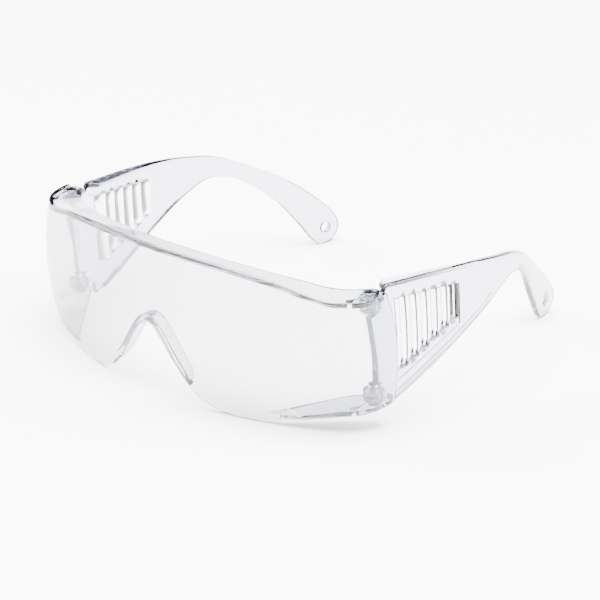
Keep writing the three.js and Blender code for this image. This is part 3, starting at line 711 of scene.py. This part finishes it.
knuckleSpans = [(low, low + arm["knuckleHeight"]) for low in (knuckleLow, knuckleHigh)]
leftArm = joined(blade(), [
    strip("flange", topRun - (0, 0.04), arm["shoulder"] + 0.3, arm["flangeEnd"],
          flangeWidthAt, -arm["flangeWall"]),
    strip("hem", lowRun + (0, 0.04), arm["shoulder"] + 4.2, arm["hemEnd"], hemWidthAt, arm["flangeWall"]),
    louvres(),
    *(roundedRod("knuckle", arm["knuckleRadius"], low, high, pinX, 0, 0.35) for low, high in knuckleSpans),
])
joined(leftArm, [bore(arm["bore"], ledgeTop - 1, knuckleLow + 5.5, pinX, 0),
                 bore(arm["bore"], knuckleHigh - 2, f["shelfTop"], pinX, 0)], "DIFFERENCE")
rightArm = mirroredCopy(leftArm, "rightArm")
finishedPiece(leftArm, "armLeft", armMaterial, "arm_left", "temple_left")
finishedPiece(rightArm, "armRight", armMaterial, "arm_right", "temple_right")

# Hinge pins with low domed heads
pin = {"radius": 1.5, "headRadius": 2.3, "headHeight": 0.8, "headGap": 0.3, "overrun": 0.4}


def hingePin(side, up):
    clear = pin["headGap"] + pin["headHeight"]
    if up:
        head, end, way = f["shelfTop"] + clear, knuckleHigh - pin["overrun"], -1
    else:
        head, end, way = f["ledgeBase"] - clear, knuckleLow + arm["knuckleHeight"] + pin["overrun"], 1
    radius, headRadius, headHeight = pin["radius"], pin["headRadius"], pin["headHeight"]
    length = abs(head - end)
    profile = [(headRadius * math.sin(a), headHeight * 0.75 * (1 - math.cos(a)))
               for a in np.linspace(0, math.pi / 2, 8)]
    profile += [(headRadius, headHeight - 0.06), (headRadius - 0.06, headHeight), (radius, headHeight),
                (radius, length - 0.3), (radius - 0.3, length), (0, length)]
    return turned("pin", [(r, head + way * h) for r, h in profile], side * pinX, 0)


for side, word in ((1, "left"), (-1, "right")):
    for up, level in ((True, "upper"), (False, "lower")):
        finishedPiece(hingePin(side, up), f"pin_{level}_{word}", pinMaterial,
                      f"arm_{word}", f"hinge_pin_{level}_{word}")

# Camera at the height and distance the glasses are seen from
view = {"azimuth": 42.98, "elevation": 26.06, "roll": -2.69, "distance": 871.04,
        "right": 28.0, "up": 16.58, "lens": 150.4}
azimuth, elevation, roll = (math.radians(view[k]) for k in ("azimuth", "elevation", "roll"))
back = Vector((math.sin(azimuth) * math.cos(elevation), -math.cos(azimuth) * math.cos(elevation),
               math.sin(elevation)))
right = Vector((math.cos(azimuth), math.sin(azimuth), 0))
up = back.cross(right)
cameraX = right * math.cos(roll) + up * math.sin(roll)
cameraY = up * math.cos(roll) - right * math.sin(roll)
spot = cameraX * view["right"] + cameraY * view["up"] + back * view["distance"]
turn = tiltTurn.to_3x3() @ Matrix((cameraX, cameraY, back)).transposed()
camera = bpy.data.objects.new("camera", bpy.data.cameras.new("camera"))
camera.data.lens = view["lens"]
camera.data.sensor_width = 36.0
camera.data.clip_start = 0.05
camera.matrix_world = Matrix.Translation(toTable @ spot) @ turn.to_4x4()
scene.collection.objects.link(camera)
scene.camera = camera

# Pale floor that curves up into a low wall all round, so the clear walls have white to show
studio = {"floor": "#fbfbfb", "radius": 1.3, "rise": 0.17, "bend": 0.16}


def paleFloor():
    flat, bend, sides = studio["radius"] - studio["bend"], studio["bend"], 96
    profile = [(0.0001, 0), (0.3, 0), (flat, 0)]
    for a in np.linspace(0.1, math.pi / 2, 12):
        profile.append((flat + bend * math.sin(a), bend * (1 - math.cos(a))))
    profile.append((studio["radius"], bend + studio["rise"]))
    verts, faces = [], []
    for k in range(sides):
        angle = 2 * math.pi * k / sides
        verts += [(r * math.cos(angle), r * math.sin(angle), z - 0.0002) for r, z in profile]
    n = len(profile)
    for k in range(sides):
        a, b = k * n, ((k + 1) % sides) * n
        faces += [(a + j, a + j + 1, b + j + 1, b + j) for j in range(n - 1)]
    mesh = bpy.data.meshes.new("floor")
    mesh.from_pydata(verts, [], faces)
    floor = bpy.data.objects.new("floor", mesh)
    scene.collection.objects.link(floor)
    material = bpy.data.materials.new("matt white paper floor")
    material.use_nodes = True
    shader = material.node_tree.nodes["Principled BSDF"]
    shader.inputs["Base Color"].default_value = hexColour(studio["floor"])
    shader.inputs["Roughness"].default_value = 0.9
    shader.inputs["Specular IOR Level"].default_value = 0.1
    mesh.materials.append(material)
    for polygon in mesh.polygons:
        polygon.use_smooth = True
    return floor


paleFloor()


def softbox(name, place, target, size, power):
    lamp = bpy.data.lights.new(name, "AREA")
    lamp.shape = "SQUARE"
    lamp.size = size
    lamp.energy = power
    holder = bpy.data.objects.new(name, lamp)
    aim = (Vector(target) - Vector(place)).to_track_quat("-Z", "Y")
    holder.matrix_world = Matrix.Translation(place) @ aim.to_matrix().to_4x4()
    scene.collection.objects.link(holder)


softbox("overhead", (0.1, -0.1, 1.5), (0, 0, 0), 1.5, 250)
softbox("left side", (-1.0, -0.3, 0.9), (0, 0, 0), 0.7, 40)
softbox("right back", (0.8, 0.9, 0.9), (0, 0, 0), 0.7, 40)
world = bpy.data.worlds.new("studio")
scene.world = world
world.use_nodes = True
background = world.node_tree.nodes["Background"]
background.inputs["Color"].default_value = hexColour("#8d9099")
background.inputs["Strength"].default_value = 0.25
print("camera, floor and lights set")
